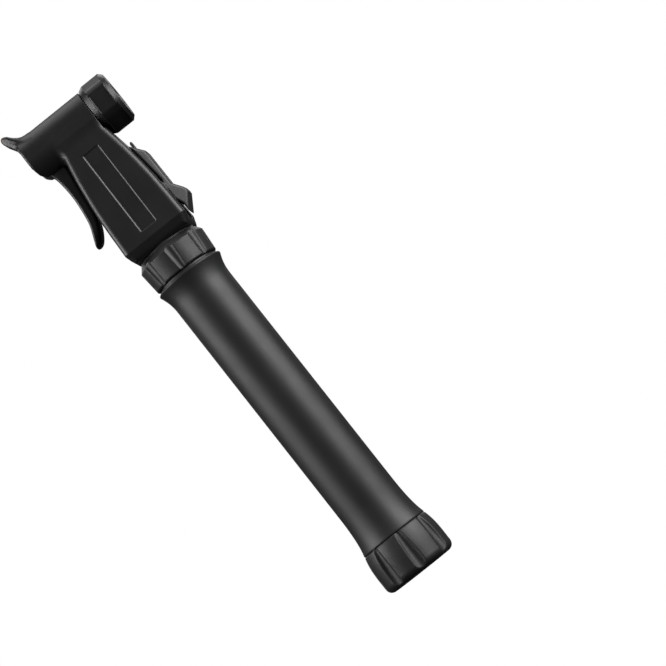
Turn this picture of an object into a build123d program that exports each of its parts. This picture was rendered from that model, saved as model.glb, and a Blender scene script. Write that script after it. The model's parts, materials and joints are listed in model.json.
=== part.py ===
from build123d import *
import os
from math import cos, sin, pi, radians

# A bicycle mini pump that stands on its end cap.
# Frame: origin at the centre of the end cap's flat bottom, +Z up the barrel towards the head,
# +X towards the valve nut, -X towards the lock lever, and the head's front face looks along -Y.
# All sizes are in millimetres.

# ---- driving dimensions ------------------------------------------------------------------
CAP_TOP = 14.2             # seam between the end cap and the sleeve
CAP_R_SEAM = 11.95
CAP_R_MAX = 12.9

SLEEVE_TOP = 119.6
SLEEVE_R = 10.5            # straight, gripped stretch of the sleeve
SLEEVE_BORE_R = 9.5
SLEEVE_R_TOP = 12.05
SLEEVE_R_FOOT = 11.85
STRAIGHT_FROM = 28.0       # the straight stretch runs between these two heights
STRAIGHT_TO = 112.0

TUBE_R = 8.6               # telescoping pump cylinder
TUBE_BORE_R = 7.6
TUBE_FOOT = 19.0
TUBE_TOP = 137.8

ROD_R = 3.0
ROD_FOOT = 13.0
PISTON_FOOT = 128.0
PISTON_TOP = 136.8

COLLAR_FOOT = 120.5
COLLAR_SHOULDER = 128.3    # where the top bevel starts
COLLAR_TOP = 130.4
COLLAR_R_FOOT = 11.7
COLLAR_R_MAX = 12.35

WEDGE_FOOT = 130.5         # lowest face of the head
WEDGE_EDGE = 134.8         # where the bevelled underside meets the flat faces
WEDGE_HALF = 12.0          # half width and half depth at that edge
WEDGE_HALF_FOOT = 10.7
WEDGE_TOP = 176.5          # where the sloping front and back have run into the chuck
WEDGE_TOP_HALF = 7.6
BORE_R = 10.45             # socket in the head for the tube's flange and the collar's spigot

SEAT_Z = 140.4             # where the check valve's poppet rests
VALVE_R = 4.0              # radius of the valve's chamber

CHUCK_Z = 179.1            # axis of the transverse chuck, along X
CHUCK_R = 8.5
CHUCK_LEFT = -18.3
NECK_FROM = 7.9            # the neck carries the nut's thread
NECK_TO = 14.2
NECK_R = 7.15
CHUCK_BORE_R = 5.75

NUT_R = 9.5
NUT_FROM = 8.1
NUT_TO = 17.7
VALVE_HOLE_R = 4.2

PIVOT_X = -13.2            # lever pivot, at the height of the chuck axis
PIN_R = 1.25
SLOT_HALF = 3.4            # half width of the slot between the two cheeks
CAM_BASE = 3.2             # cam radius at rest, towards the plunger
CAM_LIFT_PER_RAD = 1.27    # plunger travel per radian of lever swing
LEVER_SWING = pi / 2

CLIP_PIVOT = (10.7, 145.1)  # x and z of the side clip's pin
CLIP_HALF = 6.0
CLIP_PIN_HALF = 7.8

RUN = 0.05                 # radial clearance of running fits
GAP = 0.04                 # small gap between faces that meet but belong to different bodies


# ---- helpers -----------------------------------------------------------------------------
def lathe(points, axis=Axis.Z):
    """Solid of revolution from (radius, height) corners."""
    wire = Polyline([(r, 0, z) for r, z in points], close=True)
    return revolve(make_face(wire), axis)


def lathe_chuck(points):
    """Solid of revolution about the chuck axis from (radius, x) corners."""
    wire = Polyline([(x, 0, CHUCK_Z + r) for r, x in points], close=True)
    return revolve(make_face(wire), Axis((0, 0, CHUCK_Z), (1, 0, 0)))


def ring(r_out, r_in, z0, z1):
    return lathe([(r_in, z0), (r_out, z0), (r_out, z1), (r_in, z1)])


def rod(r, z0, z1, x=0, y=0):
    return Pos(x, y, (z0 + z1) / 2) * Cylinder(r, z1 - z0)


def rod_x(r, x0, x1, z=CHUCK_Z, y=0):
    return Pos((x0 + x1) / 2, y, z) * Rot(0, 90, 0) * Cylinder(r, x1 - x0)


def rod_y(r, y0, y1, x, z):
    return Pos(x, (y0 + y1) / 2, z) * Rot(90, 0, 0) * Cylinder(r, y1 - y0)


def block(x0, x1, y0, y1, z0, z1):
    return Pos((x0 + x1) / 2, (y0 + y1) / 2, (z0 + z1) / 2) * Box(x1 - x0, y1 - y0, z1 - z0)


def plate(edges, half_width):
    """Plate parallel to XZ, centred on y = 0, from the edges of its outline."""
    return extrude(make_face(edges), half_width, dir=(0, 1, 0), both=True)


def corners_xz(points):
    return Polyline([(x, 0, z) for x, z in points], close=True)


def o_ring(major, minor, z):
    return Pos(0, 0, z) * Torus(major, minor)


def o_ring_x(major, minor, x):
    return Pos(x, 0, CHUCK_Z) * Rot(0, 90, 0) * Torus(major, minor)


def scoop(angle, r_low, d_low, z_low, r_high, d_high, z_high):
    """Tapered cutter standing beside the barrel; d is its axis' distance from the barrel axis."""
    foot = Vector(d_low, 0, z_low)
    line = Vector(d_high, 0, z_high) - foot
    cone = Cone(r_low, r_high, line.length, align=(Align.CENTER, Align.CENTER, Align.MIN))
    return Rot(0, 0, angle) * (Plane(origin=foot, z_dir=line.normalized()) * cone)


def save(shape, name):
    shape.label = name
    export_step(shape, f"parts/{name}.step")


# ---- handle side: sleeve, end cap, rod and piston ------------------------------------------
def handle_sleeve():
    foot_flare = Bezier((SLEEVE_R_FOOT, 0, CAP_TOP), (SLEEVE_R, 0, 19.0), (SLEEVE_R, 0, STRAIGHT_FROM))
    straight = Line((SLEEVE_R, 0, STRAIGHT_FROM), (SLEEVE_R, 0, STRAIGHT_TO))
    lip = SLEEVE_TOP - 0.5
    top_flare = Bezier((SLEEVE_R, 0, STRAIGHT_TO), (SLEEVE_R, 0, 115.6), (SLEEVE_R_TOP, 0, lip))
    mouth = Polyline(
        (SLEEVE_R_TOP, 0, lip),
        (SLEEVE_R_TOP - 0.5, 0, SLEEVE_TOP),
        (SLEEVE_BORE_R, 0, SLEEVE_TOP),
        (SLEEVE_BORE_R, 0, CAP_TOP),
        (SLEEVE_R_FOOT, 0, CAP_TOP),
    )
    return revolve(make_face([foot_flare, straight, top_flare, mouth]), Axis.Z)


def end_cap():
    bend, flat_r = 2.4, 10.9
    spigot_r = SLEEVE_BORE_R - RUN
    side = Bezier((CAP_R_SEAM, 0, CAP_TOP - 0.3), (CAP_R_MAX, 0, 10.5), (CAP_R_MAX, 0, 6.0))
    low_side = Line((CAP_R_MAX, 0, 6.0), (CAP_R_MAX, 0, bend))
    foot = Bezier((CAP_R_MAX, 0, bend), (CAP_R_MAX - 0.1, 0, 0.5), (flat_r, 0, 0))
    inside = Polyline(
        (flat_r, 0, 0),
        (7.1, 0, 0),
        (7.1, 0, 2.4),
        (4.2, 0, 2.4),
        (4.2, 0, 6.0),
        (2.1, 0, 6.0),
        (2.1, 0, ROD_FOOT),
        (4.6, 0, ROD_FOOT),
        (4.6, 0, 9.0),
        (8.3, 0, 9.0),
        (8.3, 0, 17.4),
        (spigot_r, 0, 17.4),
        (spigot_r, 0, CAP_TOP),
        (CAP_R_SEAM - 0.3, 0, CAP_TOP),
        (CAP_R_SEAM, 0, CAP_TOP - 0.3),
    )
    body = revolve(make_face([side, low_side, foot, inside]), Axis.Z)
    for i in range(8):
        body -= scoop(-81.5 + 45 * i, 3.0, 15.1, 0.0, 1.2, 12.7, CAP_TOP - 0.4)
    return body


def cap_plug():
    return lathe([(0, 0), (6.6, 0), (7.1, 0.5), (7.1, 2.4), (0, 2.4)])


def rod_screw():
    head = lathe([(0, 2.6), (3.2, 2.6), (3.5, 2.9), (3.5, 5.2), (0, 5.2)])
    hex_socket = Pos(0, 0, 3.3) * extrude(RegularPolygon(1.6, 6), 1.4, both=True)
    return head + rod(1.95, 5.2, 21.0) - hex_socket


def rod_washer():
    return ring(4.1, 2.1, 5.2, 6.0)


def piston_rod():
    body = rod(ROD_R, ROD_FOOT, PISTON_FOOT) + rod(2.0, PISTON_FOOT, 134.5)
    return body - rod(1.95, ROD_FOOT, 22.0)


def rod_bumper():
    return lathe([(ROD_R, 13.0), (4.2, 13.0), (5.6, 14.2), (5.6, 16.8), (4.8, 17.9), (ROD_R, 17.9)])


def piston():
    r = TUBE_BORE_R - 0.1
    groove = 5.9
    outline = [
        (2.0, PISTON_FOOT), (5.2, PISTON_FOOT), (r, 129.0), (r, 131.2), (groove, 131.2),
        (groove, 133.4), (r, 133.4), (r, 136.2), (6.9, PISTON_TOP), (0, PISTON_TOP),
        (0, 134.5), (2.0, 134.5),
    ]
    return lathe(outline)


def piston_seal():
    return o_ring(6.72, 0.82, 132.3)


def sleeve_guide():
    lip = ring(10.6, TUBE_R + RUN, SLEEVE_TOP, SLEEVE_TOP + 0.7)
    return lip + ring(SLEEVE_BORE_R, TUBE_R + RUN, 112.2, SLEEVE_TOP)


# ---- head side: tube, collar and check valve ------------------------------------------------
def cylinder_tube():
    body = ring(TUBE_R, TUBE_BORE_R, TUBE_FOOT, TUBE_TOP)
    return body + ring(10.3, TUBE_BORE_R, 133.5, 134.6)


def tube_foot_guide():
    outline = [
        (ROD_R + RUN, 18.0), (9.1, 18.0), (SLEEVE_BORE_R - RUN, 18.4), (SLEEVE_BORE_R - RUN, 22.0),
        (TUBE_R, 22.0), (TUBE_R, TUBE_FOOT), (ROD_R + RUN, TUBE_FOOT),
    ]
    body = lathe(outline)
    for i in range(4):
        body -= Rot(0, 0, 45 + 90 * i) * rod(1.0, 17.5, 19.5, x=5.8)
    return body


def tube_o_ring():
    return o_ring(9.5, 0.8, 135.4)


def collar():
    spigot_r = BORE_R - RUN
    outline = [
        (TUBE_R + RUN, COLLAR_FOOT), (COLLAR_R_FOOT - 0.4, COLLAR_FOOT), (COLLAR_R_FOOT, COLLAR_FOOT + 0.4),
        (COLLAR_R_MAX, COLLAR_SHOULDER), (10.8, COLLAR_TOP), (spigot_r, COLLAR_TOP), (spigot_r, 133.4),
        (TUBE_R + RUN, 133.4),
    ]
    body = lathe(outline)
    for i in range(8):
        body -= scoop(-87 + 45 * i, 1.5, 12.65, COLLAR_FOOT - 0.2, 2.3, 13.9, 129.5)
    return body


def valve_seat():
    foot, shoulder, hole = 138.0, SEAT_Z - 0.4, 1.5
    return lathe([
        (hole, foot), (VALVE_R, foot), (VALVE_R, shoulder), (2.4, shoulder), (2.0, SEAT_Z), (hole, SEAT_Z),
    ])


def check_poppet():
    low = SEAT_Z + GAP
    return lathe([(0, low), (2.7, low), (2.7, low + 1.1), (0.9, low + 1.1), (0.9, 145.0), (0, 145.0)])


def check_spring():
    foot, top, wire = 141.9, 147.6, 0.2
    path = Pos(0, 0, foot) * Helix(1.4, top - foot, 1.7)
    start = Plane(origin=path @ 0, z_dir=path % 0)
    return sweep(start * Circle(wire), path, is_frenet=True)


# ---- head body ------------------------------------------------------------------------------
def head_wedge():
    """Tapered grip of the head: flat front and back, slightly swelling sides, bevelled underside."""
    half, foot_half = WEDGE_HALF, WEDGE_HALF_FOOT
    right = Spline(
        (half, 0, WEDGE_EDGE), (11.6, 0, 146.0), (10.0, 0, 163.0), (7.6, 0, 176.0), (7.0, 0, 180.0)
    )
    left = mirror(right, Plane.YZ)
    shoulders = Line((7.0, 0, 180.0), (-7.0, 0, 180.0))
    foot = Polyline(
        (-half, 0, WEDGE_EDGE), (-foot_half, 0, WEDGE_FOOT), (foot_half, 0, WEDGE_FOOT), (half, 0, WEDGE_EDGE)
    )
    front_view = extrude(make_face([right, shoulders, left, foot]), 16, dir=(0, 1, 0), both=True)
    side_outline = [
        (-half, WEDGE_EDGE), (-WEDGE_TOP_HALF, WEDGE_TOP), (-4.0, 181.0), (4.0, 181.0),
        (WEDGE_TOP_HALF, WEDGE_TOP), (half, WEDGE_EDGE), (foot_half, WEDGE_FOOT), (-foot_half, WEDGE_FOOT),
    ]
    side_wire = Polyline([(0, y, z) for y, z in side_outline], close=True)
    side_view = extrude(make_face(side_wire), 16, dir=(1, 0, 0), both=True)
    body = front_view & side_view
    corners = [e for e in body.edges() if 150 < e.center().Z < 168 and abs(e.center().Y) > 6]
    return fillet(corners, 2.2)


def horn():
    """Thumb spur: a sector of a bell mouth that flares up from the chuck's left end."""
    root = -12.6
    upper = Spline(
        (root, 0, 8.2), (-14.6, 0, 8.6), (-16.2, 0, 9.45), (-17.6, 0, 10.6), (-18.7, 0, 11.8), (-19.5, 0, 12.3)
    )
    tip = ThreePointArc((-19.5, 0, 12.3), (-20.95, 0, 12.15), (-21.4, 0, 11.0))
    under = Spline((-21.4, 0, 11.0), (-20.9, 0, 9.7), (-19.8, 0, 8.25), (-18.8, 0, 6.8), (-18.2, 0, 5.8))
    inside = Polyline((-18.2, 0, 5.8), (root, 0, 5.8), (root, 0, 8.2))
    bell = revolve(make_face([upper, tip, under, inside]), Axis.X)
    right = Bezier((root, 6.2, 0), (-18.0, 5.6, 0), (-21.2, 3.2, 0))
    left = mirror(right, Plane.XZ)
    end = Bezier((-21.2, 3.2, 0), (-22.9, 0, 0), (-21.2, -3.2, 0))
    base = Line((root, 6.2, 0), (root, -6.2, 0))
    plan = extrude(make_face([right, end, left, base]), 14)
    return Pos(0, 0, CHUCK_Z) * (bell & plan)


def heel_relief():
    """Cutter that slants the chuck's lower left corner, where the lever's knuckle comes out."""
    outline = [
        (-18.4, 175.8), (-17.7, 173.4), (-16.2, 171.5), (-14.4, 170.3), (-14.4, 169.0), (-20.0, 169.0),
        (-20.0, 175.8),
    ]
    return plate(corners_xz(outline), 9)


def clip_pocket():
    """Recess in the head's right wall for the side clip's hub, and a shallow one for its thumb tab."""
    x, z = CLIP_PIVOT
    side = CLIP_HALF + 0.3
    ledge = 137.4
    hub_room = block(x - 2.1, 20, -side, side, ledge, z + 2.3)
    return hub_room + block(11.1, 20, -side, side, WEDGE_FOOT + 3.0, ledge)


def clip_lugs():
    """Small swellings of the right wall, either side of the pocket, that hold the clip's pin."""
    x, z = CLIP_PIVOT
    reach = CLIP_PIN_HALF + 0.6
    return rod_y(1.6, -reach, reach, x, z)


def head_body():
    chuck = rod_x(CHUCK_R, CHUCK_LEFT, NECK_FROM)
    ends = chuck.edges().filter_by(GeomType.CIRCLE).sort_by(Axis.X)
    chuck = fillet(ends[:1], 0.7)
    neck = rod_x(NECK_R, NECK_FROM - 1, NECK_TO)
    body = head_wedge() + chuck + horn() + clip_lugs()
    body -= rod_x(NUT_R + 0.5, NECK_FROM, NUT_TO)
    body += neck
    body -= rod(BORE_R, WEDGE_FOOT - 1, 136.3)
    body -= rod(TUBE_R + RUN, 136.0, 138.0)
    body -= rod(VALVE_R, 137.9, 148.0)
    body -= rod(1.4, 147.9, CHUCK_Z)
    body -= rod_x(CHUCK_BORE_R, -10.4, NECK_TO + 1)
    body -= block(-22, -8.8, -SLOT_HALF, SLOT_HALF, 169.0, CHUCK_Z + 5.6)
    body -= heel_relief()
    body -= rod_y(PIN_R, -6.8, 10, PIVOT_X, CHUCK_Z)
    body -= front_panel_recess()
    body -= clip_pocket()
    return body - clip_pin()


def front_panel_recess():
    """Shallow plain panel let into the front face, parallel to its slope, with walls drafted 45 degrees."""
    depth, width, draft = 0.3, 6.4, 0.7
    low = Vector(0, -11.72, 137.5)
    high = Vector(0, -8.38, 169.1)
    slope = (high - low).normalized()
    outwards = Vector(1, 0, 0).cross(slope)
    floor = Plane(origin=(low + high) / 2 - outwards * depth, x_dir=(1, 0, 0), z_dir=outwards)
    pad = RectangleRounded(width - draft, (high - low).length - draft, 0.2)
    return extrude(floor * pad, 2 * depth, taper=-45)


# ---- chuck: plunger, grommet, nut and lever ------------------------------------------------
def plunger():
    r, groove, waist, air_way = CHUCK_BORE_R - RUN, 4.25, 4.6, 1.6
    left = PIVOT_X + CAM_BASE + GAP
    outline = [
        (0, left), (r - 0.5, left), (r, left + 0.5),
        (r, -6.4), (groove, -6.4), (groove, -4.7), (r, -4.7), (r, -3.6), (waist, -3.2), (waist, 1.2), (r, 1.6),
        (r, 2.4), (groove, 2.4), (groove, 4.1), (r, 4.1), (r, 5.2), (3.6, 5.2), (3.6, 4.2), (air_way, 4.2),
        (air_way, -2.2), (0, -2.2),
    ]
    return lathe_chuck(outline) - rod(1.0, CHUCK_Z - 6, CHUCK_Z + 6, x=-1.0)


def plunger_o_rings():
    return [o_ring_x(4.98, 0.7, x) for x in (-5.55, 3.25)]


def pin_insert():
    body = lathe_chuck([(0, 4.2), (3.6, 4.2), (3.6, 5.2), (1.0, 5.2), (1.0, 8.0), (0.6, 8.4), (0, 8.4)])
    for i in range(3):
        angle = radians(90 + 120 * i)
        body -= rod_x(0.55, 4.0, 5.4, z=CHUCK_Z + 2.0 * sin(angle), y=2.0 * cos(angle))
    return body


def valve_grommet():
    left, right = 5.2 + GAP, 14.56
    outline = [
        (3.0, left), (5.6, left), (5.6, right - 0.36), (5.2, right), (4.5, right), (3.9, right - 0.56), (3.9, 8.7),
        (3.0, 8.7),
    ]
    return lathe_chuck(outline)


def grommet_washer():
    left = 14.6
    return lathe_chuck([(4.5, left), (6.6, left), (6.6, left + 0.9), (4.5, left + 0.9)])


def chuck_nut():
    inner = 15.5 + GAP
    bevel, end_bevel = 2.0, 1.3
    outline = [
        (NECK_R + RUN, NUT_FROM), (CHUCK_R, NUT_FROM), (NUT_R, NUT_FROM + bevel), (NUT_R, NUT_TO - end_bevel),
        (NUT_R - end_bevel, NUT_TO), (VALVE_HOLE_R + 0.6, NUT_TO), (VALVE_HOLE_R, NUT_TO - 0.6),
        (VALVE_HOLE_R, inner), (NECK_R + RUN, inner),
    ]
    body = lathe_chuck(outline)
    facet = 8.8
    for i in range(6):
        cutter = block(NUT_FROM + bevel, NUT_TO - end_bevel - 0.2, -12, -facet, -6, 6)
        body -= Pos(0, 0, CHUCK_Z) * Rot(60 * i, 0, 0) * cutter
    return body


def lever_cam_point(angle):
    """Point of an involute cam whose reach towards the plunger grows evenly with the swing."""
    reach = CAM_BASE + CAM_LIFT_PER_RAD * angle
    x = reach * cos(angle) - CAM_LIFT_PER_RAD * sin(angle)
    z = reach * sin(angle) + CAM_LIFT_PER_RAD * cos(angle)
    return (PIVOT_X + x, 0, CHUCK_Z + z)


def lock_lever():
    cam = Spline([lever_cam_point(LEVER_SWING * i / 6) for i in range(7)])
    heel = ThreePointArc(cam @ 1, (PIVOT_X - 4.0, 0, CHUCK_Z + 2.6), (PIVOT_X - 4.3, 0, CHUCK_Z - 3.0))
    knuckle = Spline(heel @ 1, (-16.9, 0, 173.3), (-15.7, 0, 171.7), (-14.9, 0, 170.0), (-14.5, 0, 168.0))
    outer = Spline(
        (-14.5, 0, 168.0), (-14.15, 0, 164.0), (-14.1, 0, 160.0), (-14.5, 0, 155.4), (-15.2, 0, 151.3),
        (-16.4, 0, 148.1), (-18.0, 0, 144.6),
    )
    tip = ThreePointArc((-18.0, 0, 144.6), (-17.9, 0, 143.5), (-16.9, 0, 143.35))
    inner = Spline(
        (-16.9, 0, 143.35), (-15.9, 0, 144.2), (-14.7, 0, 145.8), (-13.1, 0, 148.6), (-12.0, 0, 151.6),
        (-11.45, 0, 154.6), (-10.95, 0, 158.7), (-10.45, 0, 162.7), (-9.9, 0, 166.5), (-9.5, 0, 169.5),
    )
    throat = Polyline((-9.5, 0, 169.5), (-9.5, 0, 171.0), (-10.6, 0, 174.0), (-10.6, 0, 177.6), cam @ 0)
    side_view = plate([cam, heel, knuckle, outer, tip, inner, throat], 6)
    narrow = SLOT_HALF - 0.3
    wide = 4.6
    edge = Spline(
        (narrow, 166.5), (wide, 158.0), (wide, 151.0), (wide - 0.3, 147.0), (2.8, 144.2), (0, 143.3)
    )
    edge = Plane.YZ * edge
    stem = Plane.YZ * Polyline((narrow, 166.5), (narrow, 190), (-narrow, 190), (-narrow, 166.5))
    other = mirror(edge, Plane.XZ)
    face_view = Pos(-30, 0, 0) * extrude(make_face([edge, stem, other]), 30, dir=(1, 0, 0))
    return (side_view & face_view) - rod_y(PIN_R + RUN, -10, 10, PIVOT_X, CHUCK_Z)


def lever_pin():
    return rod_y(PIN_R, -6.8, 7.9, PIVOT_X, CHUCK_Z)


# ---- side clip ---------------------------------------------------------------------------------
def side_clip():
    """Fin along the head's right wall, with a thumb tab below its pin and a thin locating spike on top."""
    x, z = CLIP_PIVOT
    fin_outline = [
        (10.3, 162.85), (13.66, 158.5), (13.7, 145.2), (15.9, 142.1), (16.45, 141.0), (16.4, 139.9),
        (12.95, 134.7), (12.65, 134.9), (12.6, 137.6), (11.4, 140.5), (11.4, 147.0), (11.95, 147.9),
        (11.5, 152.0), (11.0, 157.0),
    ]
    spike_outline = [
        (10.7, 161.0), (10.7, 163.8), (11.1, 164.5), (11.65, 164.3), (11.65, 158.0), (11.2, 158.0),
    ]
    arm = plate(corners_xz(fin_outline), CLIP_HALF) + plate(corners_xz(spike_outline), 1.6)
    hub = rod_y(1.6, -CLIP_HALF, CLIP_HALF, x, z)
    spring_room = block(x - 4, x + 1.7, -1.4, 1.4, z - 1.7, z + 1.7)
    return arm + hub - spring_room - rod_y(0.8 + RUN, -10, 10, x, z)


def clip_pin():
    x, z = CLIP_PIVOT
    return rod_y(0.8, -CLIP_PIN_HALF, CLIP_PIN_HALF, x, z)


def clip_spring():
    x, z = CLIP_PIVOT
    path = Pos(x, 1.0, z) * Rot(90, 0, 0) * Helix(0.5, 2.0, 1.2)
    start = Plane(origin=path @ 0, z_dir=path % 0)
    return sweep(start * Circle(0.2), path, is_frenet=True)


# ---- build -------------------------------------------------------------------------------------
PIECES = [
    handle_sleeve, end_cap, cap_plug, rod_screw, rod_washer, piston_rod, rod_bumper, piston, piston_seal,
    sleeve_guide, cylinder_tube, tube_foot_guide, tube_o_ring, collar, valve_seat, check_poppet,
    check_spring, head_body, plunger, plunger_o_rings, pin_insert, valve_grommet, grommet_washer,
    chuck_nut, lock_lever, lever_pin, side_clip, clip_pin, clip_spring,
]

os.makedirs("parts", exist_ok=True)
for piece in PIECES:
    solid = piece()
    if isinstance(solid, list):
        solid = Compound(children=solid)
    save(solid, piece.__name__)
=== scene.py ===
import json
import math

import bpy
import numpy as np
from mathutils import Matrix, Vector


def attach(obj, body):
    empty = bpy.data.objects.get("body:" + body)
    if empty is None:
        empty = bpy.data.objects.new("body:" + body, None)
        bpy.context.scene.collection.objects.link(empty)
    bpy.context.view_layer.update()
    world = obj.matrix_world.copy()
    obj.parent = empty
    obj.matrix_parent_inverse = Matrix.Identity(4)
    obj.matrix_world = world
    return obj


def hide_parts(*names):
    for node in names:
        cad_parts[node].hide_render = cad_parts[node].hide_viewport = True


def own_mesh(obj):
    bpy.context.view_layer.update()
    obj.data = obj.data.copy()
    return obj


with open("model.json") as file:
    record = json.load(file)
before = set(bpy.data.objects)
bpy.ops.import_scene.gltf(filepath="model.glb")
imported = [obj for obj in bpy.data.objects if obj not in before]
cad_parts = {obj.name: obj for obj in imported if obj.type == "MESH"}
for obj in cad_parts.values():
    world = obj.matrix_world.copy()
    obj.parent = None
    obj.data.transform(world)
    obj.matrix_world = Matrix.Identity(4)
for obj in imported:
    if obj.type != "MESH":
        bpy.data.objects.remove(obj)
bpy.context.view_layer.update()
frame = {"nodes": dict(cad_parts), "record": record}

# The mini pump stands on its end cap: +Z up the barrel to the head, +X to the valve nut, -X to the
# lock lever, and the head's panelled front looks along -Y. Shapes are worked out in millimetres and
# stored in metres.

MM = 0.001
FINE = 0.22   # grid spacing that the moulded pieces are meshed at

# ---- sizes, as in the CAD --------------------------------------------------------------------
SEAM_Z = 14.2              # seam between end cap and sleeve
CAP_R = 12.9               # widest part of the end cap
PLUG_R = 7.1               # hole in the cap's foot that the plug closes
PLUG_TOP = 2.4
SLEEVE_TOP = 119.6
SLEEVE_R = 10.5            # straight, gripped stretch of the sleeve
SLEEVE_BORE_R = 9.5
GRIP_FROM, GRIP_TO = 28.0, 112.0     # the straight stretch runs between these heights

TUBE_HOLE_R = 8.65         # hole that the pump's tube passes through
COLLAR_FOOT = 120.5
COLLAR_SHOULDER = 128.3    # where the top bevel starts
COLLAR_TOP = 130.4
COLLAR_R = 12.35

WEDGE_FOOT = 130.5         # lowest face of the head
WEDGE_EDGE = 134.8         # where the bevelled underside meets the flat faces
WEDGE_HALF = 12.0          # half width and half depth at that edge
WEDGE_FOOT_HALF = 10.7
SOCKET_R = 10.45           # socket in the head for the collar's spigot
SPIGOT_TOP = 133.4
VALVE_R = 4.0              # chamber of the check valve

CHUCK_Z = 179.1            # axis of the transverse chuck, along X
CHUCK_R = 8.5
CHUCK_LEFT = -18.3
CHUCK_BORE_R = 5.75
NECK_FROM = 7.9            # the neck carries the nut's thread
NECK_R = 7.15
THREAD_PITCH = 1.5
NUT_FROM, NUT_TO = 8.1, 17.7
NUT_R = 9.5
NUT_FACET = 8.8            # distance of the nut's flats from its axis
VALVE_HOLE_R = 4.2
GROMMET_END = 14.56        # x of the grommet's face that stays still

PIVOT_X = -13.2            # lever pivot, at the height of the chuck axis
PIN_R = 1.25
SLOT_HALF = 3.4            # half width of the slot between the two cheeks
CAM_BASE = 3.2             # cam radius at rest, towards the plunger
CAM_LIFT = 1.27            # plunger travel per radian of lever swing

CLIP_PIVOT = (10.7, 145.1)  # x and z of the side clip's pin
CLIP_HALF = 6.0            # half width of the clip
CLIP_PIN_HALF = 7.8
CLIP_PIN_R = 0.8


# ---- meshes from distance fields ------------------------------------------------------------
# A field takes x, y, z arrays and gives the distance to the piece's surface, negative inside.
def soft_max(a, b, k):
    """Intersection of two fields with an edge rounded over about k."""
    h = np.maximum(k - np.abs(a - b), 0.0) / k
    return np.maximum(a, b) + h * h * k / 4


def soft_min(a, b, k):
    """Union of two fields with a fillet of about k."""
    return -soft_max(-a, -b, k)


def cut(a, b, k=0.3):
    return soft_max(a, -b, k)


def inset(corners, r):
    """A closed outline moved inwards by r. Corners run anticlockwise."""
    moved = []
    count = len(corners)
    for i, (px, py) in enumerate(corners):
        ax, ay = corners[i - 1]
        bx, by = corners[(i + 1) % count]
        ux, uy = px - ax, py - ay
        vx, vy = bx - px, by - py
        ul, vl = math.hypot(ux, uy), math.hypot(vx, vy)
        n1 = (-uy / ul, ux / ul)
        n2 = (-vy / vl, vx / vl)
        s = 1 + n1[0] * n2[0] + n1[1] * n2[1]
        moved.append((px + r * (n1[0] + n2[0]) / s, py + r * (n1[1] + n2[1]) / s))
    return moved


def polygon(u, v, corners):
    """Distance to a closed outline in the plane of u and v."""
    best = np.full(u.shape, 1e9)
    inside = np.zeros(u.shape, bool)
    for i, (bx, by) in enumerate(corners):
        ax, ay = corners[i - 1]
        ex, ey = bx - ax, by - ay
        wx, wy = u - ax, v - ay
        t = np.clip((wx * ex + wy * ey) / (ex * ex + ey * ey), 0, 1)
        best = np.minimum(best, (wx - ex * t) ** 2 + (wy - ey * t) ** 2)
        if ey != 0:
            inside ^= ((ay <= v) != (by <= v)) & (u < ax + wy * ex / ey)
    return np.where(inside, -1, 1) * np.sqrt(best)


def outline(u, v, corners, r=0.0):
    """polygon() with its outer corners rounded to radius r."""
    if r == 0:
        return polygon(u, v, corners)
    return polygon(u, v, inset(corners, r)) - r


def curve(points, steps=6):
    """Smooth open line through the points, without its last one."""
    p = [np.array(q, float) for q in points]
    p = [2 * p[0] - p[1]] + p + [2 * p[-1] - p[-2]]
    line = []
    for i in range(1, len(p) - 2):
        for k in range(steps):
            t = k / steps
            a = 2 * p[i]
            b = p[i + 1] - p[i - 1]
            c = 2 * p[i - 1] - 5 * p[i] + 4 * p[i + 1] - p[i + 2]
            d = 3 * (p[i] - p[i + 1]) + p[i + 2] - p[i - 1]
            line.append(tuple(0.5 * (a + b * t + c * t * t + d * t * t * t)))
    return line


def bar(a, b, r, s, low, high):
    """Round bar of radius r about the line where a and b are 0, along s from low to high."""
    return np.maximum(np.hypot(a, b) - r, np.maximum(low - s, s - high))


def slab(*ranges):
    """Block from (coordinate, low, high) triples."""
    field = None
    for s, low, high in ranges:
        d = np.maximum(low - s, s - high)
        field = d if field is None else np.maximum(field, d)
    return field


def folded(a, b, count, start):
    """Turns (a, b) so that one cutter at angle 0 is repeated count times around, from start degrees."""
    r = np.hypot(a, b)
    pitch = 2 * math.pi / count
    angle = np.mod(np.arctan2(b, a) - math.radians(start) + pitch / 2, pitch) - pitch / 2
    return r * np.cos(angle), r * np.sin(angle)


def taper(d, w, s, low, high):
    """Cone along s, beside the axis: low and high are (radius, distance from the axis, s)."""
    t = (s - low[2]) / (high[2] - low[2])
    centre = low[1] + (high[1] - low[1]) * t
    return np.hypot(d - centre, w) - (low[0] + (high[0] - low[0]) * t)


def gradient(field, p, e=0.02):
    g = []
    for axis in range(3):
        step = np.zeros((3, 1))
        step[axis] = e
        hi, lo = p + step, p - step
        g.append((field(*hi) - field(*lo)) / (2 * e))
    return np.array(g)


def sample(field, axes, h):
    """Field on the grid, worked out finely only near the surface."""
    block, margin = 4, 1.6
    coarse_axes = [a[::block] + (block - 1) / 2 * h for a in axes]
    coarse = field(*np.meshgrid(*coarse_axes, indexing="ij"))
    grow = [np.repeat(np.arange(len(a[::block])), block)[: len(a)] for a in axes]
    values = coarse[np.ix_(*grow)]
    near = np.abs(values) < margin * block * h
    x, y, z = np.meshgrid(*axes, indexing="ij", sparse=True)
    i, j, k = np.nonzero(near)
    values[near] = field(axes[0][i], axes[1][j], axes[2][k])
    return values


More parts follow.
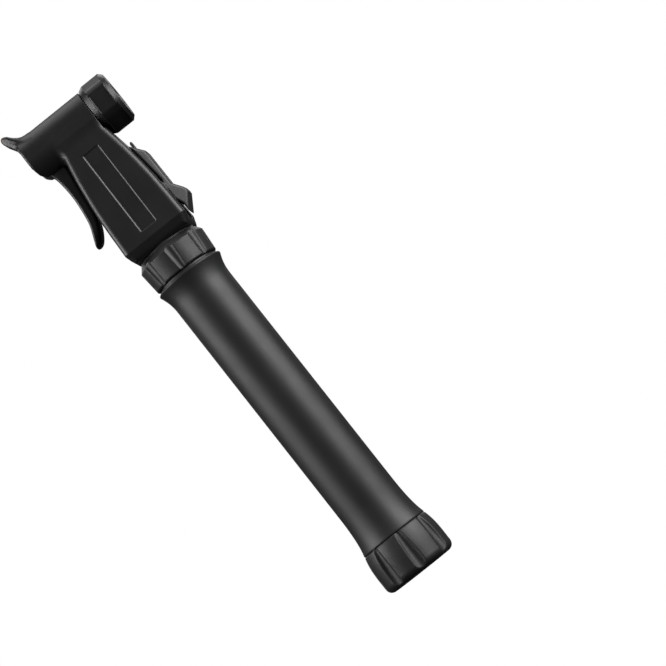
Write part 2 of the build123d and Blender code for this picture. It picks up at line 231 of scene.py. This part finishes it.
def surface(field, lo, hi, h):
    """Vertices, quads and normals of the surface where the field is 0 (surface nets)."""
    axes = [np.arange(a - 2 * h, b + 3 * h, h) for a, b in zip(lo, hi)]
    v = sample(field, axes, h)
    inside = v < 0
    corners = [(i, j, k) for i in (0, 1) for j in (0, 1) for k in (0, 1)]
    n = [len(a) - 1 for a in axes]

    def part(array, c):
        return array[c[0]:c[0] + n[0], c[1]:c[1] + n[1], c[2]:c[2] + n[2]]

    count = sum(part(inside, c).astype(np.uint8) for c in corners)
    mixed = (count > 0) & (count < 8)
    cells = np.array(np.nonzero(mixed))
    ids = np.full(n, -1)
    ids[mixed] = np.arange(cells.shape[1])
    at = {c: v[cells[0] + c[0], cells[1] + c[1], cells[2] + c[2]] for c in corners}
    total = np.zeros(cells.shape)
    hits = np.zeros(cells.shape[1])
    for c in corners:
        for axis in range(3):
            if c[axis] == 0:
                d = tuple(1 if a == axis else c[a] for a in range(3))
                crosses = (at[c] < 0) != (at[d] < 0)
                t = np.where(crosses, at[c] / np.where(crosses, at[c] - at[d], 1), 0)
                for a in range(3):
                    total[a] += crosses * (c[a] + (t if a == axis else 0))
                hits += crosses
    origin = np.array([[a[0]] for a in axes])
    p = origin + (cells + total / hits) * h
    for _ in range(3):      # pull the vertices onto the surface
        g = gradient(field, p)
        p -= np.clip(field(*p) * g / np.maximum((g * g).sum(0), 0.1), -h, h)
    g = gradient(field, p)
    g /= np.maximum(np.sqrt((g * g).sum(0)), 1e-9)
    quads = []
    for axis in range(3):
        a, b = (axis + 1) % 3, (axis + 2) % 3
        first = [slice(1, n[i]) for i in range(3)]
        second = list(first)
        first[axis] = slice(0, n[axis])
        second[axis] = slice(1, n[axis] + 1)
        here, there = inside[tuple(first)], inside[tuple(second)]
        e = np.array(np.nonzero(here != there))
        for i in range(3):
            e[i] += 0 if i == axis else 1
        outward = here[here != there]
        ring = []
        for da, db in ((0, 0), (-1, 0), (-1, -1), (0, -1)):
            q = e.copy()
            q[a] += da
            q[b] += db
            ring.append(ids[q[0], q[1], q[2]])
        ring = np.array(ring).T
        ring[~outward] = ring[~outward][:, ::-1]
        quads.append(ring)
    return p.T, np.concatenate(quads), g.T


def moulded_piece(name, field, lo, hi, h=None):
    """Object whose mesh is the field's surface inside the box from lo to hi, in millimetres."""
    points, quads, normals = surface(field, lo, hi, h or FINE)
    mesh = bpy.data.meshes.new(name)
    mesh.vertices.add(len(points))
    mesh.vertices.foreach_set("co", (points * MM).astype(np.float32).ravel())
    mesh.loops.add(quads.size)
    mesh.loops.foreach_set("vertex_index", quads.astype(np.int32).ravel())
    mesh.polygons.add(len(quads))
    mesh.polygons.foreach_set("loop_start", np.arange(0, quads.size, 4, dtype=np.int32))
    mesh.update(calc_edges=True)
    mesh.validate()
    mesh.shade_smooth()
    if len(mesh.vertices) == len(normals):
        mesh.normals_split_custom_set_from_vertices(normals.astype(np.float32))
    obj = bpy.data.objects.new(name, mesh)
    bpy.context.scene.collection.objects.link(obj)
    return obj


def lathe_piece(name, profile, turns=160, along_x=False):
    """Object turned from a closed profile of (radius, height), or of (radius, x) with along_x."""
    count = len(profile)
    verts, faces = [], []
    for i in range(turns):
        a = 2 * math.pi * i / turns
        for r, s in profile:
            if along_x:
                verts.append((s * MM, r * math.cos(a) * MM, (CHUCK_Z + r * math.sin(a)) * MM))
            else:
                verts.append((r * math.cos(a) * MM, r * math.sin(a) * MM, s * MM))
    for i in range(turns):
        j = (i + 1) % turns
        for k in range(count):
            m = (k + 1) % count
            faces.append((i * count + k, j * count + k, j * count + m, i * count + m))
    mesh = bpy.data.meshes.new(name)
    mesh.from_pydata(verts, [], faces)
    mesh.validate()
    mesh.shade_smooth()
    obj = bpy.data.objects.new(name, mesh)
    bpy.context.scene.collection.objects.link(obj)
    bpy.context.view_layer.objects.active = obj
    weighted = obj.modifiers.new("even shading", "WEIGHTED_NORMAL")
    weighted.keep_sharp = True
    return obj


def coil_piece(name, foot, height, pitch, radius, wire, sides=10, steps=24):
    """Spring wound about the barrel's axis, upwards from foot."""
    verts, faces = [], []
    count = round(height / pitch * steps)
    for i in range(count + 1):
        a = 2 * math.pi * i / steps
        for k in range(sides):
            b = 2 * math.pi * k / sides
            r = radius + wire * math.cos(b)
            rise = foot + pitch * i / steps + wire * math.sin(b)
            verts.append((r * math.cos(a) * MM, r * math.sin(a) * MM, rise * MM))
    for i in range(count):
        for k in range(sides):
            m = (k + 1) % sides
            faces.append((i * sides + k, (i + 1) * sides + k, (i + 1) * sides + m, i * sides + m))
    faces.append(tuple(range(sides)))
    faces.append(tuple(count * sides + k for k in reversed(range(sides))))
    mesh = bpy.data.meshes.new(name)
    mesh.from_pydata(verts, [], faces)
    mesh.validate()
    mesh.shade_smooth()
    obj = bpy.data.objects.new(name, mesh)
    bpy.context.scene.collection.objects.link(obj)
    return obj


# ---- materials -----------------------------------------------------------------------------
def node_of(tree, kind, **values):
    node = tree.nodes.new(kind)
    for key, value in values.items():
        if key in node.inputs:
            node.inputs[key].default_value = value
        else:
            setattr(node, key, value)
    return node


def plastic(name, colour, roughness, grain_mm, grain_depth, specular=0.5):
    """Moulded plastic: fine spark-eroded grain, cloudy gloss and a slight drift of colour."""
    swing = 0.08
    mat = bpy.data.materials.new(name)
    mat.use_nodes = True
    tree = mat.node_tree
    shader = tree.nodes["Principled BSDF"]
    shader.inputs["Specular IOR Level"].default_value = specular
    place = node_of(tree, "ShaderNodeTexCoord")
    grain = node_of(tree, "ShaderNodeTexNoise", Scale=1 / (grain_mm * MM), Detail=3.0, Roughness=0.6)
    cloud = node_of(tree, "ShaderNodeTexNoise", Scale=90.0, Detail=4.0, Roughness=0.55)
    tree.links.new(place.outputs["Object"], grain.inputs["Vector"])
    tree.links.new(place.outputs["Object"], cloud.inputs["Vector"])
    gloss = node_of(tree, "ShaderNodeMapRange")
    gloss.inputs["To Min"].default_value = roughness - swing
    gloss.inputs["To Max"].default_value = roughness + swing
    tree.links.new(cloud.outputs["Fac"], gloss.inputs["Value"])
    tree.links.new(gloss.outputs["Result"], shader.inputs["Roughness"])
    ramp = node_of(tree, "ShaderNodeValToRGB")
    ramp.color_ramp.elements[0].position = 0.3
    ramp.color_ramp.elements[1].position = 0.7
    ramp.color_ramp.elements[0].color = (*[c * 0.82 for c in colour], 1)
    ramp.color_ramp.elements[1].color = (*[c * 1.18 for c in colour], 1)
    tree.links.new(grain.outputs["Fac"], ramp.inputs["Fac"])
    tree.links.new(ramp.outputs["Color"], shader.inputs["Base Color"])
    bump = node_of(tree, "ShaderNodeBump", Strength=1.0, Distance=grain_depth * MM)
    tree.links.new(grain.outputs["Fac"], bump.inputs["Height"])
    tree.links.new(bump.outputs["Normal"], shader.inputs["Normal"])
    return mat


def metal(name, colour, roughness, stretch=(1, 1, 1), line_mm=0.25, depth=0.004):
    """Turned or drawn metal: fine lines stretched along the working direction."""
    mat = bpy.data.materials.new(name)
    mat.use_nodes = True
    tree = mat.node_tree
    shader = tree.nodes["Principled BSDF"]
    shader.inputs["Metallic"].default_value = 1.0
    place = node_of(tree, "ShaderNodeTexCoord")
    scale = node_of(tree, "ShaderNodeMapping")
    scale.inputs["Scale"].default_value = stretch
    lines = node_of(tree, "ShaderNodeTexNoise", Scale=1 / (line_mm * MM), Detail=4.0, Roughness=0.6)
    tree.links.new(place.outputs["Object"], scale.inputs["Vector"])
    tree.links.new(scale.outputs["Vector"], lines.inputs["Vector"])
    gloss = node_of(tree, "ShaderNodeMapRange")
    gloss.inputs["To Min"].default_value = roughness - 0.07
    gloss.inputs["To Max"].default_value = roughness + 0.1
    tree.links.new(lines.outputs["Fac"], gloss.inputs["Value"])
    tree.links.new(gloss.outputs["Result"], shader.inputs["Roughness"])
    ramp = node_of(tree, "ShaderNodeValToRGB")
    ramp.color_ramp.elements[0].color = (*[c * 0.85 for c in colour], 1)
    ramp.color_ramp.elements[1].color = (*colour, 1)
    tree.links.new(lines.outputs["Fac"], ramp.inputs["Fac"])
    tree.links.new(ramp.outputs["Color"], shader.inputs["Base Color"])
    bump = node_of(tree, "ShaderNodeBump", Strength=1.0, Distance=depth * MM)
    tree.links.new(lines.outputs["Fac"], bump.inputs["Height"])
    tree.links.new(bump.outputs["Normal"], shader.inputs["Normal"])
    return mat


SLEEVE = plastic("soft_touch_black", (0.0075, 0.0075, 0.0082), 0.50, 0.22, 0.006)
GRAINED = plastic("grained_black", (0.011, 0.011, 0.012), 0.50, 0.30, 0.02)
HEAD = plastic("satin_black", (0.0055, 0.0055, 0.006), 0.42, 0.26, 0.008)
NUT = plastic("nut_black", (0.0055, 0.0055, 0.006), 0.35, 0.26, 0.006)
CLIP = plastic("clip_black", (0.011, 0.011, 0.012), 0.48, 0.26, 0.008)
LEVER = plastic("lever_black", (0.004, 0.004, 0.0045), 0.40, 0.26, 0.008)
BEARING = plastic("bearing_grey", (0.30, 0.30, 0.31), 0.45, 0.35, 0.006)
RUBBER = plastic("rubber_black", (0.016, 0.016, 0.017), 0.72, 0.18, 0.012, specular=0.35)
TUBE_METAL = metal("drawn_alloy", (0.72, 0.73, 0.75), 0.30, stretch=(1, 1, 0.03))
STEEL = metal("plated_steel", (0.56, 0.56, 0.58), 0.28, stretch=(1, 1, 0.2))
BRASS = metal("turned_brass", (0.76, 0.58, 0.27), 0.30, stretch=(0.15, 1, 1))


def dress(obj, material):
    obj.data.materials.clear()
    obj.data.materials.append(material)


def place(obj, material, body, slot, *nodes):
    """Gives a new piece its material and its body, and hides the CAD nodes that it stands for. The slot
    argument is not used.
    """
    dress(obj, material)
    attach(obj, body)
    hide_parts(*nodes)


# ---- handle side ---------------------------------------------------------------------------
def bezier(a, b, c, steps=10):
    """Points of a quadratic curve from a to c that leans towards b, without its last point."""
    line = []
    for i in range(steps):
        t = i / steps
        line.append(tuple((1 - t) ** 2 * p + 2 * t * (1 - t) * q + t * t * r for p, q, r in zip(a, b, c)))
    return line


def sleeve_profile():
    """Flared foot, straight grip, flared mouth and bore of the sleeve."""
    foot, mouth, lip = (11.83, SEAM_Z + 0.4), (11.98, 118.85), (11.75, 119.45)
    outer = bezier((11.5, SEAM_Z), (11.78, SEAM_Z), foot, 4)
    outer += bezier(foot, (SLEEVE_R + 0.05, 18.9), (SLEEVE_R, GRIP_FROM), 18)
    outer += [(SLEEVE_R, GRIP_FROM + (GRIP_TO - GRIP_FROM) * i / 40) for i in range(40)]
    outer += bezier((SLEEVE_R, GRIP_TO), (SLEEVE_R, 115.6), mouth, 16)
    outer += bezier(mouth, (12.1, 119.25), lip, 5)
    outer += bezier(lip, (11.5, SLEEVE_TOP), (11.1, SLEEVE_TOP), 3)
    bore = [(SLEEVE_BORE_R, z) for z in (119.4, GRIP_TO, 60.0, SEAM_Z + 0.2)]
    return outer + [(SLEEVE_BORE_R + 0.2, SLEEVE_TOP)] + bore + [(SLEEVE_BORE_R + 0.2, SEAM_Z)]


def cap_field(x, y, z):
    """Scooped cap with the screw's pocket and the spigot that fits the sleeve."""
    r = np.hypot(x, y)
    side = [(11.65, SEAM_Z), (11.93, SEAM_Z - 0.3)]
    side += bezier((11.95, SEAM_Z - 0.35), (CAP_R, 10.5), (CAP_R, 6.0), 8)
    foot = bezier((CAP_R, 2.4), (12.8, 0.5), (10.9, 0.0), 8)
    inside = [
        (PLUG_R, 0), (PLUG_R, PLUG_TOP), (4.2, PLUG_TOP), (4.2, 6.0), (2.1, 6.0), (2.1, 13.0), (4.6, 13.0),
        (4.6, 9.0), (8.3, 9.0), (8.3, 17.4), (9.45, 17.4), (9.45, SEAM_Z),
    ]
    corners = (side + [(CAP_R, 6.0)] + foot + [(10.9, 0.0)] + inside)[::-1]
    body = polygon(r, z, corners)
    d, w = folded(x, y, 8, -81.5)
    petal = taper(d, w, z, (3.0, 15.1, 0.0), (1.2, 12.7, SEAM_Z - 0.4))
    return cut(body, np.maximum(petal, z - SEAM_Z + 0.2), 0.3)


def collar_field(x, y, z):
    """Scooped ring under the head, with the spigot that goes up into it."""
    r = np.hypot(x, y)
    spigot_r = SOCKET_R - 0.05
    corners = [
        (TUBE_HOLE_R, COLLAR_FOOT), (11.3, COLLAR_FOOT), (11.7, COLLAR_FOOT + 0.4),
        (COLLAR_R, COLLAR_SHOULDER), (10.8, COLLAR_TOP), (spigot_r, COLLAR_TOP), (spigot_r, SPIGOT_TOP),
        (TUBE_HOLE_R, SPIGOT_TOP),
    ]
    body = outline(r, z, corners, 0.25)
    d, w = folded(x, y, 8, -87)
    scoop = taper(d, w, z, (1.5, 12.65, COLLAR_FOOT - 0.2), (2.3, 13.9, 129.5))
    return cut(body, scoop, 0.25)


def make_handle():
    sleeve = lathe_piece("sleeve", sleeve_profile(), 192)
    place(sleeve, SLEEVE, "handle", "soft_grip", "handle_sleeve")
    side = CAP_R + 0.05
    cap = moulded_piece("cap", cap_field, (-side, -side, 0), (side, side, 17.4))
    place(cap, GRAINED, "handle", "cap_plastic", "end_cap")
    centre, rim = 0.01, PLUG_R - 0.04
    plug_profile = [
        (centre, 0.0), (6.3, 0.0), (6.65, 0.06), (7.0, 0.42), (rim, 0.7), (rim, PLUG_TOP),
        (centre, PLUG_TOP),
    ]
    plug = lathe_piece("plug", plug_profile, 96)
    place(plug, GRAINED, "handle", "cap_plastic", "cap_plug")


# ---- head side -----------------------------------------------------------------------------
def wedge_field(x, y, z):
    """Tapered grip with a flat front and back and a bevelled underside."""
    foot, edge, top = (WEDGE_FOOT_HALF, WEDGE_FOOT), (WEDGE_HALF, WEDGE_EDGE), (7.0, 180.0)
    side = curve([edge, (11.6, 146.0), (11.05, 154.0), (10.0, 163.0), (8.65, 171.0), (7.6, 176.0), top], 3)
    right = [foot] + side + [top]
    front = right + [(-a, b) for a, b in right[::-1]]
    back = [foot, edge, (7.6, 176.5), (4.0, 181.0)]
    profile = [(-foot[0], foot[1])] + back + [(-a, b) for a, b in back[:0:-1]]
    return soft_max(outline(x, z, front, 0.35), outline(y, z, profile, 0.35), 2.3)


def horn_field(x, y, z):
    """Thumb spur: a sector of a bell mouth that flares up from the chuck's left end."""
    r = np.hypot(y, z - CHUCK_Z)
    upper = curve([
        (-12.6, 8.2), (-14.6, 8.6), (-16.2, 9.45), (-17.6, 10.6), (-18.7, 11.8), (-19.5, 12.3),
    ], 4)
    tip = curve([(-19.5, 12.3), (-20.4, 12.44), (-21.15, 11.95), (-21.36, 11.0)], 4)
    under = curve([(-21.36, 11.0), (-20.9, 9.7), (-19.8, 8.25), (-18.8, 6.8), (-18.2, 5.8)], 4)
    bell = polygon(x, r, upper + tip + under + [(-18.2, 5.8), (-12.6, 5.8)])
    edge = bezier((-12.6, 6.2), (-18.0, 5.6), (-21.2, 3.2), 6)
    edge += bezier((-21.2, 3.2), (-22.9, 0.0), (-21.2, -3.2), 6)
    edge += bezier((-21.2, -3.2), (-18.0, -5.6), (-12.6, -6.2), 6) + [(-12.6, -6.2)]
    plan = np.maximum(polygon(x, y, edge), CHUCK_Z - z)
    return soft_max(bell, plan, 0.8)


def front_panel_field(x, y, z):
    """Shallow plain panel let into the sloping front face, with drafted walls."""
    low, high = np.array((-11.72, 137.5)), np.array((-8.38, 169.1))
    along = (high - low) / np.linalg.norm(high - low)
    middle = (low + high) / 2
    s = (y - middle[0]) * along[0] + (z - middle[1]) * along[1]
    depth = (y - middle[0]) * along[1] - (z - middle[1]) * along[0]
    half = np.linalg.norm(high - low) / 2 - 0.05
    sides = soft_max(np.abs(x) - 3.15 + depth, np.abs(s) - half + depth, 0.5) / math.sqrt(2)
    return soft_max(sides, depth - 0.3, 0.1)


def neck_field(x, y, z):
    """Threaded end of the chuck, hidden inside the nut."""
    zc = z - CHUCK_Z
    middle, half, thread_depth = 10.6, 3.6, 0.28
    turn = np.mod((x - 8.0) / THREAD_PITCH - np.arctan2(zc, y) / (2 * math.pi), 1)
    thread = thread_depth * np.abs(turn - 0.5) * 2
    return soft_max(np.hypot(y, zc) - NECK_R + thread, np.abs(x - middle) - half, 0.5)


def lever_room_field(x, y, z):
    """Slot between the chuck's cheeks, and the slant on the chuck's lower left corner."""
    slot = slab((x, -22, -8.8), (y, -SLOT_HALF, SLOT_HALF), (z, 165, CHUCK_Z + 5.6))
    slant = [
        (-22.0, 175.8), (-22.0, 165.0), (-14.4, 165.0), (-14.4, 170.3), (-16.2, 171.5), (-17.7, 173.4),
        (-18.4, 175.8),
    ]
    return slot, polygon(x, z, slant)


def clip_room_field(x, y, z):
    """Recess in the right wall for the clip's hub, and a shallow one for its thumb tab."""
    px, pz = CLIP_PIVOT
    side, ledge_z = CLIP_HALF + 0.3, 137.4
    pocket = slab((x, px - 2.1, 20), (y, -side, side), (z, ledge_z, pz + 2.3))
    ledge = slab((x, 11.1, 20), (y, -side, side), (z, 133.5, 140.0))
    return np.minimum(pocket, ledge)


def head_field(x, y, z):
    """Wedge, chuck, horn and clip lugs in one moulding, less its bores, slots and pockets."""
    zc = z - CHUCK_Z
    r = np.hypot(y, zc)
    px, pz = CLIP_PIVOT
    lug = CLIP_PIN_HALF + 0.6
    left_end = soft_max(r - CHUCK_R, CHUCK_LEFT - x, 1.1)
    chuck = soft_max(left_end, x - NECK_FROM, 0.25)
    body = soft_min(wedge_field(x, y, z), chuck, 2.2)
    body = soft_min(body, horn_field(x, y, z), 1.0)
    body = soft_min(body, bar(x - px, z - pz, 1.6, y, -lug, lug), 0.6)
    body = cut(body, np.maximum(r - NUT_R - 0.5, slab((x, NECK_FROM, NUT_TO))), 0.3)
    body = np.minimum(body, neck_field(x, y, z))
    body = cut(body, front_panel_field(x, y, z), 0.12)
    slot, slant = lever_room_field(x, y, z)
    body = cut(body, slot, 0.5)
    body = cut(body, slant, 0.6)
    body = cut(body, bar(y, zc, CHUCK_BORE_R, x, -10.4, 20), 0.2)
    body = cut(body, bar(x - PIVOT_X, zc, PIN_R, y, -6.8, 10), 0.2)
    for radius, low, high in (
        (SOCKET_R, 120, 136.3), (TUBE_HOLE_R, 136, 138.0), (VALVE_R, 137.9, 148.0), (1.4, 147.9, CHUCK_Z),
    ):
        body = cut(body, bar(x, y, radius, z, low, high), 0.2)
    body = cut(body, clip_room_field(x, y, z), 0.4)
    return cut(body, bar(x - px, z - pz, CLIP_PIN_R, y, -CLIP_PIN_HALF, CLIP_PIN_HALF), 0.1)


def cam_line():
    """Involute cam of the lever, from the plunger's side up over the top."""
    line = []
    for i in range(13):
        a = math.pi / 2 * i / 12
        reach = CAM_BASE + CAM_LIFT * a
        x = reach * math.cos(a) - CAM_LIFT * math.sin(a)
        z = reach * math.sin(a) + CAM_LIFT * math.cos(a)
        line.append((PIVOT_X + x, CHUCK_Z + z))
    return line


def lever_field(x, y, z):
    """Cam, knuckle and curved arm of the lever, cut to a spoon shape seen from the left."""
    back = curve([cam_line()[-1], (-16.2, 182.6), (-17.3, 180.2), (-17.5, 176.1)], 3)
    knuckle = curve([(-17.5, 176.1), (-16.9, 173.3), (-15.7, 171.7), (-14.9, 170.0), (-14.5, 168.0)], 4)
    outer = curve([
        (-14.5, 168.0), (-14.15, 164.0), (-14.1, 160.0), (-14.5, 155.4), (-15.2, 151.3), (-16.4, 148.1),
        (-18.0, 144.6),
    ], 4)
    tip = curve([(-18.0, 144.6), (-18.05, 143.95), (-17.6, 143.45), (-16.9, 143.35)], 3)
    inner = curve([
        (-16.9, 143.35), (-15.9, 144.2), (-14.7, 145.8), (-13.1, 148.6), (-12.0, 151.6), (-11.45, 154.6),
        (-10.95, 158.7), (-10.45, 162.7), (-9.9, 166.5), (-9.5, 169.5),
    ], 3)
    throat = [(-9.5, 169.5), (-9.5, 171.0), (-10.6, 174.0), (-10.6, 177.6)]
    side = polygon(x, z, cam_line()[:-1] + back + knuckle + outer + tip + inner + throat)
    edge = curve([(3.1, 166.5), (4.6, 158.0), (4.6, 151.0), (4.3, 147.0), (2.8, 144.2), (0.0, 143.3)], 4)
    half = [(3.1, 190.0), (3.1, 168.0)] + edge
    face = polygon(y, z, half + [(0.0, 143.3)] + [(-a, b) for a, b in half[::-1]])
    return cut(soft_max(side, face, 1.1), bar(x - PIVOT_X, z - CHUCK_Z, PIN_R + 0.05, y, -9, 9), 0.2)


def clip_field(x, y, z):
    """Fin along the head's right wall, with a thumb tab below its pin and a locating spike on top."""
    px, pz = CLIP_PIVOT
    hub_r, slant = 1.6, 0.34
    fin_corners = [
        (10.2, 162.85), (10.9, 157.0), (11.4, 152.0), (11.8, 147.9), (11.4, 147.0), (11.4, 140.5),
        (12.6, 137.6), (12.65, 134.9), (12.95, 134.7), (16.4, 139.9), (16.45, 141.0), (15.9, 142.1),
        (13.7, 145.2), (13.66, 158.5),
    ]
    face = (np.abs(y) - CLIP_HALF + slant * (x - 11.8)) * 0.95
    fin = soft_max(polygon(x, z, fin_corners), face, 0.9)
    spike_corners = [
        (10.7, 161.0), (10.7, 163.8), (11.1, 164.5), (11.65, 164.3), (11.65, 158.0), (11.2, 158.0),
    ]
    spike = soft_max(polygon(x, z, spike_corners), np.abs(y) - 1.6, 0.4)
    hub = soft_max(np.hypot(x - px, z - pz) - hub_r, np.abs(y) - CLIP_HALF, 0.3)
    body = soft_min(soft_min(fin, hub, 0.4), spike, 0.3)
    spring_room = slab((x, px - 4, px + 1.7), (y, -1.4, 1.4), (z, pz - 1.7, pz + 1.7))
    body = cut(body, spring_room, 0.2)
    return cut(body, bar(x - px, z - pz, CLIP_PIN_R + 0.05, y, -9, 9), 0.1)


def nut_field(x, y, z):
    """Bevelled nut with six flats and the valve's hole."""
    r = np.hypot(y, z - CHUCK_Z)
    bore_r, floor_x = NECK_R + 0.05, 15.54
    bevel_x, end_bevel = NUT_FROM + 2.0, 1.3
    corners = [
        (floor_x, bore_r), (floor_x, VALVE_HOLE_R), (NUT_TO - 0.6, VALVE_HOLE_R),
        (NUT_TO, VALVE_HOLE_R + 0.6), (NUT_TO, NUT_R - end_bevel), (NUT_TO - end_bevel, NUT_R),
        (bevel_x, NUT_R), (NUT_FROM, CHUCK_R), (NUT_FROM, bore_r),
    ]
    body = outline(x, r, corners, 0.15)
    d, _ = folded(-y, z - CHUCK_Z, 6, 0)
    facet = np.maximum(NUT_FACET - d, slab((x, bevel_x, NUT_TO - end_bevel - 0.2)))
    return cut(body, facet, 0.25)


def make_head():
    head = moulded_piece("head", head_field, (-21.5, -12.1, 130.4), (14.3, 12.1, 191.6))
    place(head, HEAD, "head", "head_plastic", "head_body")
    ring = moulded_piece("collar_ring", collar_field, (-12.4, -12.4, 120.4), (12.4, 12.4, 133.5))
    place(ring, GRAINED, "head", "cap_plastic", "collar")
    lever = moulded_piece("lever_arm", lever_field, (-18.2, -4.7, 143.2), (-8.8, 4.7, 184.8))
    place(lever, LEVER, "lever", "lever_plastic", "lock_lever")
    clip = moulded_piece("clip_arm", clip_field, (8.9, -6.1, 134.5), (16.6, 6.1, 164.7), FINE * 0.7)
    place(clip, CLIP, "clip", "clip_plastic", "side_clip")
    spring = coil_piece("valve_spring", foot=141.9, height=5.7, pitch=1.4, radius=1.7, wire=0.2)
    place(spring, STEEL, "head", "steel", "check_spring")
    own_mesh(spring)
    grommet_profile = [
        (3.0, 5.25), (5.6, 5.25), (5.6, 14.0), (5.45, 14.38), (5.1, GROMMET_END), (4.6, GROMMET_END),
        (4.2, 14.3), (3.95, 13.9), (3.9, 13.0), (3.9, 8.7), (3.0, 8.7),
    ]
    grommet = lathe_piece("grommet", grommet_profile, 96, along_x=True)
    place(grommet, RUBBER, "head", "black_rubber", "valve_grommet")
    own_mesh(grommet)
    nut = moulded_piece("nut", nut_field, (8.0, -9.6, CHUCK_Z - 9.6), (17.8, 9.6, CHUCK_Z + 9.6))
    place(nut, NUT, "nut", "nut_plastic", "chuck_nut")


def dress_cad_nodes():
    """Hidden pieces keep their CAD shape and get their own material."""
    by_slot = {
        "soft_grip": SLEEVE, "cap_plastic": GRAINED, "head_plastic": HEAD, "nut_plastic": NUT,
        "lever_plastic": LEVER, "clip_plastic": CLIP, "inner_plastic": BEARING, "tube_alloy": TUBE_METAL,
        "steel": STEEL, "brass": BRASS, "black_rubber": RUBBER,
    }
    for part in frame["record"]["subparts"]:
        dress(frame["nodes"][part["node"]], by_slot[part["material_slot"]])


# ---- stage ---------------------------------------------------------------------------------
def make_floor():
    """Pale floor under the end cap. It is clear from below, because the camera stands just below it."""
    mesh = bpy.data.meshes.new("floor")
    half = 3.0
    corners = [(-half, -half, 0), (half, -half, 0), (half, half, 0), (-half, half, 0)]
    mesh.from_pydata(corners, [], [(0, 1, 2, 3)])
    floor = bpy.data.objects.new("floor", mesh)
    bpy.context.scene.collection.objects.link(floor)
    mat = bpy.data.materials.new("pale_floor")
    mat.use_nodes = True
    tree = mat.node_tree
    shader = tree.nodes["Principled BSDF"]
    shader.inputs["Base Color"].default_value = (0.6, 0.6, 0.6, 1)
    shader.inputs["Roughness"].default_value = 0.8
    shader.inputs["Specular IOR Level"].default_value = 0.1
    shader.inputs["Emission Color"].default_value = (1, 1, 1, 1)
    shader.inputs["Emission Strength"].default_value = 0.7
    clear = tree.nodes.new("ShaderNodeBsdfTransparent")
    mix = tree.nodes.new("ShaderNodeMixShader")
    side = tree.nodes.new("ShaderNodeNewGeometry")
    tree.links.new(side.outputs["Backfacing"], mix.inputs["Fac"])
    tree.links.new(shader.outputs["BSDF"], mix.inputs[1])
    tree.links.new(clear.outputs["BSDF"], mix.inputs[2])
    tree.links.new(mix.outputs["Shader"], tree.nodes["Material Output"].inputs["Surface"])
    dress(floor, mat)
    floor.visible_glossy = False    # it throws no light up onto the pump
    floor.visible_diffuse = False


def make_world():
    """White backdrop for the camera, and a dim fill for everything else."""
    world = bpy.data.worlds.new("studio")
    bpy.context.scene.world = world
    world.use_nodes = True
    tree = world.node_tree
    fill = tree.nodes["Background"]
    fill.inputs["Color"].default_value = (1, 1, 1, 1)
    fill.inputs["Strength"].default_value = 0.03
    seen = tree.nodes.new("ShaderNodeBackground")
    seen.inputs["Color"].default_value = (1, 1, 1, 1)
    seen.inputs["Strength"].default_value = 1.0
    path = tree.nodes.new("ShaderNodeLightPath")
    mix = tree.nodes.new("ShaderNodeMixShader")
    tree.links.new(path.outputs["Is Camera Ray"], mix.inputs["Fac"])
    tree.links.new(fill.outputs["Background"], mix.inputs[1])
    tree.links.new(seen.outputs["Background"], mix.inputs[2])
    tree.links.new(mix.outputs["Shader"], tree.nodes["World Output"].inputs["Surface"])
    bpy.context.scene.view_settings.view_transform = "Standard"


def softbox(name, azimuth, elevation, distance, size, power, target=(0, 0, 0.1)):
    """Area light aimed at the pump. Azimuth 0 is in front, and 90 is on the nut's side."""
    light = bpy.data.lights.new(name, "AREA")
    light.shape = "RECTANGLE"
    light.size, light.size_y = size
    light.energy = power
    obj = bpy.data.objects.new(name, light)
    bpy.context.scene.collection.objects.link(obj)
    a, e = math.radians(azimuth), math.radians(elevation)
    away = Vector((math.sin(a) * math.cos(e), -math.cos(a) * math.cos(e), math.sin(e)))
    obj.location = Vector(target) + away * distance
    obj.rotation_euler = away.to_track_quat("Z", "Y").to_euler()


def make_lights():
    softbox("right", 76, 24, 1.0, (0.42, 0.8), 9)
    softbox("left", -80, 24, 1.0, (0.36, 0.8), 7.5)
    softbox("left_strip", -56, 14, 0.8, (0.10, 0.5), 2.0, (0, 0, 0.14))
    softbox("right_strip", 50, 14, 0.8, (0.18, 0.6), 4.5)
    softbox("top", 10, 100, 1.0, (0.6, 0.9), 2.8)
    softbox("front", 0, 15, 1.6, (0.8, 0.8), 0.4)
    softbox("back_right", 155, 30, 1.2, (0.4, 0.8), 2)
    softbox("back_left", 205, 30, 1.2, (0.4, 0.8), 2)


def make_camera():
    """Nearly square on to the front, from a little below, rolled so that the pump leans left."""
    distance, azimuth, roll, view = 0.88, math.radians(3.5), math.radians(38.36), math.radians(13.586)
    eye = Vector((distance * math.sin(azimuth), -distance * math.cos(azimuth), -0.015))
    aim = Vector((0.02419, 0.0, 0.07616))
    forward = (aim - eye).normalized()
    right = forward.cross(Vector((0, 0, 1))).normalized()
    up = right.cross(forward)
    camera_up = up * math.cos(roll) + right * math.sin(roll)
    camera_right = right * math.cos(roll) - up * math.sin(roll)
    data = bpy.data.cameras.new("camera")
    camera = bpy.data.objects.new("camera", data)
    bpy.context.scene.collection.objects.link(camera)
    turn = Matrix((camera_right, camera_up, -forward)).transposed()
    camera.matrix_world = Matrix.Translation(eye) @ turn.to_4x4()
    data.sensor_width = 36.0
    data.lens = data.sensor_width / 2 / math.tan(view / 2)
    data.clip_start, data.clip_end = 0.01, 20
    bpy.context.scene.camera = camera


dress_cad_nodes()
make_handle()
make_head()
make_floor()
make_world()
make_lights()
make_camera()
